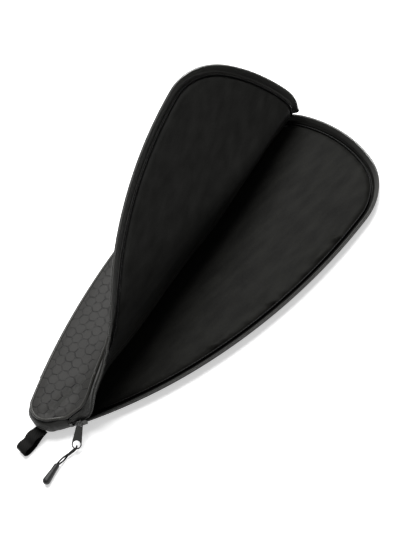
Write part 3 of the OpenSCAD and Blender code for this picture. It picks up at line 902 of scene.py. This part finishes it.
def makeStitches(name, runs, part):
    front = part != "back"
    points, faces = [], []
    block = [(0, 3, 2, 1), (4, 5, 6, 7), (0, 1, 5, 4), (1, 2, 6, 5), (2, 3, 7, 6), (3, 0, 4, 7)]
    for run in runs:
        reach = np.array([run, run + stitch["length"]]) % wholeRun
        ends, outward = edgePoints(placeAt(reach), stitch["inset"])
        first = len(points)
        for end, way in zip(ends, outward):
            for side, rise in ((-1, 0), (1, 0), (1, 1), (-1, 1)):
                z = stitch["onto"] + rise * stitch["height"]
                flat = end + way * side * stitch["width"] / 2
                points.append((flat[0], flat[1], cut["thickness"] - z if front else z))
        faces += [tuple(first + i for i in (face if front else reversed(face))) for face in block]
    addPiece(name, points, faces, part, "spunThread", (), False)


def makeEdges():
    allBack = [("back", 0, wholeRun)]
    allFront = [("flap", panelLow, seamHigh), ("spine", seamHigh, wholeRun + panelLow)]
    zipBack = [("back", startRun, endRun)]
    zipFront = frontStretches(startRun, endRun)
    piping = pipingSection()
    binding = edges["binding"]
    wall = wallStrip(0, 1, 6, 0, edges["wall"])
    tape = tapeSection()
    for name, section, back, front, material, slot, node in (
            # the piping's grey is painted lighter, a painted highlight
            ("piping", piping, allBack, allFront, "pressedTwill", "piping_cloth", "piping"),
            ("binding", binding, allBack, allFront, "nappedBinding", "binding_tape", "seam_binding"),
            # the walls' grey is painted lighter, as painted light
            ("sideWall", wall, zipBack, zipFront, "plainPolyester", "side_cloth", "side_wall"),
            ("zipTape", tape, zipBack, zipFront, "wovenTape", "zip_tape", "zip_tape")):
        addSwept(name, section, back, False, material, ["back_" + node])
        addSwept("front" + name[0].upper() + name[1:], section, front, True, material,
                 [part + "_" + node for part in ("spine", "fold", "flap")])
    closedTail = [("back", endRun, wholeRun + startRun)]
    # the tail's grey is painted lighter, as painted light
    addSwept("tailGusset", gusset["section"], closedTail, False, "rubbedPolyester",
             ["tail_gusset"], gusset["step"], gussetCrease)
    addSwept("sideLining", wallStrip(-0.05, edges["sideLiningTop"], 5, *edges["sideLining"]), zipBack, False,
             "knittedTricot", ["back_side_lining"])
    makeStitches("stitchesBack", np.arange(0, wholeRun, stitch["spacing"]), "back")
    gap = stitch["endGap"]
    makeStitches("stitchesFlap", np.arange(panelLow + gap, seamHigh - gap, stitch["spacing"]), "flap")


def makeCoil(name, low, high, part, replaces):
    front = part != "back"
    count = int((high - low) / coil["pitch"]) * coil["turnSteps"]
    runs = np.linspace(low, high, count)
    angle = np.arange(count) * 2 * math.pi / coil["turnSteps"]
    flat, outward = edgePoints(placeAt(runs % wholeRun), coil["depth"] / 2)
    middle = cut["thickness"] / 2 - coil["gap"] / 2 - coil["height"] / 2
    out = (coil["depth"] / 2 - coil["wire"]) * np.cos(angle)
    up = (coil["height"] / 2 - coil["wire"]) * np.sin(angle)
    line = np.column_stack((flat + outward * out[:, None], middle + up))
    tangent = np.gradient(line, axis=0)
    tangent /= np.linalg.norm(tangent, axis=1)[:, None]
    normal = np.column_stack((outward * np.cos(angle)[:, None], np.sin(angle)))
    normal -= tangent * (normal * tangent).sum(1)[:, None]
    normal /= np.linalg.norm(normal, axis=1)[:, None]
    other = np.cross(tangent, normal)
    rings = [line + coil["wire"] * (math.cos(a) * normal + math.sin(a) * other)
             for a in np.arange(coil["sides"]) * 2 * math.pi / coil["sides"]]
    points = np.stack(rings, 1).reshape(-1, 3)
    if front:
        points[:, 2] = cut["thickness"] - points[:, 2]
    faces = tubeFaces(count, coil["sides"], front)
    # the coil's grey is painted lighter, as painted light
    addPiece(name, points, faces, part, "extrudedNylon", replaces)


makeEdges()
coilEnds = startRun + coil["endGap"], endRun - coil["endGap"]
makeCoil("zipCoilBack", *coilEnds, "back", ["back_zip_coil"])
for index, (part, low, high) in enumerate(frontStretches(*coilEnds)):
    nodes = [node + "_zip_coil" for node in ("spine", "fold", "flap")] if index == 0 else []
    makeCoil("zipCoilFront" + part.capitalize(), low, high, part, nodes)
print("edges and zip made")

# a doubled strap, in mm along and up: it comes out at the tail, humps up, sinks in a crease
# and turns back under itself
hangLoop = {
    "width": 13.4, "thick": 1.3, "middle": 1.5, "chamfer": 0.5, "selvedge": 0.2,
    "skew": 0.9, "twist": 2.2, "steps": 90, "softenings": 6, "aboveFloor": 0.05,
    "route": [
        (-216.2, 6.6), (-219.6, 7.0), (-223, 7.7), (-226.5, 9.6), (-230, 10.2), (-233, 8.9), (-235, 7.5),
        (-237.2, 7.6), (-240.5, 8.9), (-244, 8.7), (-246.6, 6.9), (-247.2, 4.4), (-246, 2.0), (-243, 0.75),
        (-239, 0.7), (-234, 1.2), (-229, 2.6), (-224, 4.4), (-219.6, 5.2), (-215.6, 5.3),
    ],
}


def makeLoop():
    route = np.array(hangLoop["route"])
    reached = np.concatenate(([0], np.cumsum(np.linalg.norm(np.diff(route, axis=0), axis=1))))
    count = hangLoop["steps"]
    line = np.stack([np.interp(np.linspace(0, reached[-1], count), reached, route[:, k]) for k in (0, 1)], 1)
    for _ in range(hangLoop["softenings"]):
        line[1:-1] = 0.25 * line[:-2] + 0.5 * line[1:-1] + 0.25 * line[2:]
    tangent = np.gradient(line, axis=0)
    tangent /= np.linalg.norm(tangent, axis=1)[:, None]
    normal = np.column_stack((tangent[:, 1], -tangent[:, 0]))
    half, thick = hangLoop["width"] / 2, hangLoop["thick"] / 2
    flat, edge = half - hangLoop["chamfer"], hangLoop["selvedge"]
    section = [(-flat, thick), (-half, edge), (-half, -edge), (-flat, -thick),
               (flat, -thick), (half, -edge), (half, edge), (flat, thick)]
    points = []
    for k in range(count):
        skew = math.sin(math.pi * k / (count - 1)) * math.sin(hangLoop["twist"] * k / count)
        for across, out in section:
            y, z = line[k] + normal[k] * out
            x = hangLoop["middle"] + across + hangLoop["skew"] * skew
            points.append((x, y, max(z, hangLoop["aboveFloor"])))
    faces = tubeFaces(count, len(section), True)
    addPiece("hangingLoop", points, faces, "hang_loop", "ribbedWebbing", ["hanging_loop"])


makeLoop()
print("hanging loop made")


def dressPull():
    # the slider, tab, grip and end stops keep the frame's own shapes
    for node, material in (("zip_slider", "enamelledZinc"), ("pull_tab", "enamelledZinc"),
                           # the end stops share the coil's grey, painted lighter as painted light
                           ("pull_grip", "mouldedRubber"), ("zip_end_stops", "extrudedNylon")):
        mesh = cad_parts[node].data
        mesh.materials.clear()
        mesh.materials.append(materials[material])
    cord.data.materials.append(materials["braidedNylon"])
    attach(cord, "cord_pull")
    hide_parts("pull_cord")


dressPull()
print("pull dressed")

# sheet of matt paper, in metres: white to the eye and in reflections, darker to the light it throws back
# to the eye and in reflections it also shines a little by itself, so that the shadow stays but is faint
paper = {
    "half": 3, "below": 0.0005, "seen": "#f9f9f9", "thrown": "#a0a0a0",
    "roughness": 0.9, "specular": 0, "ownWhite": 0.5,
}


def makeFloor():
    half, low = paper["half"], -paper["below"]
    mesh = bpy.data.meshes.new("floor")
    corners = [(-half, -half, low), (half, -half, low), (half, half, low), (-half, half, low)]
    mesh.from_pydata(corners, [], [(0, 1, 2, 3)])
    floor = addToScene("floor", mesh)
    made, tree, shader = startMaterial("mattPaper", paper)
    path = addNode(tree, "ShaderNodeLightPath").outputs
    seen = path["Is Camera Ray"]
    for ray in ("Is Glossy Ray", "Is Transmission Ray"):
        seen = addNode(tree, "ShaderNodeMath", {0: seen, 1: path[ray]}, operation="MAXIMUM").outputs[0]
    shade = addNode(tree, "ShaderNodeMix", {"Factor": seen}, data_type="RGBA")
    shade.inputs[6].default_value = linearFromHex(paper["thrown"])
    shade.inputs[7].default_value = linearFromHex(paper["seen"])
    tree.links.new(shade.outputs[2], shader.inputs["Base Color"])
    glow = addNode(tree, "ShaderNodeMath", {0: seen}, {1: paper["ownWhite"]}, operation="MULTIPLY")
    shader.inputs["Emission Color"].default_value = (1, 1, 1, 1)
    tree.links.new(glow.outputs[0], shader.inputs["Emission Strength"])
    mesh.materials.append(made)


makeFloor()
print("floor made")
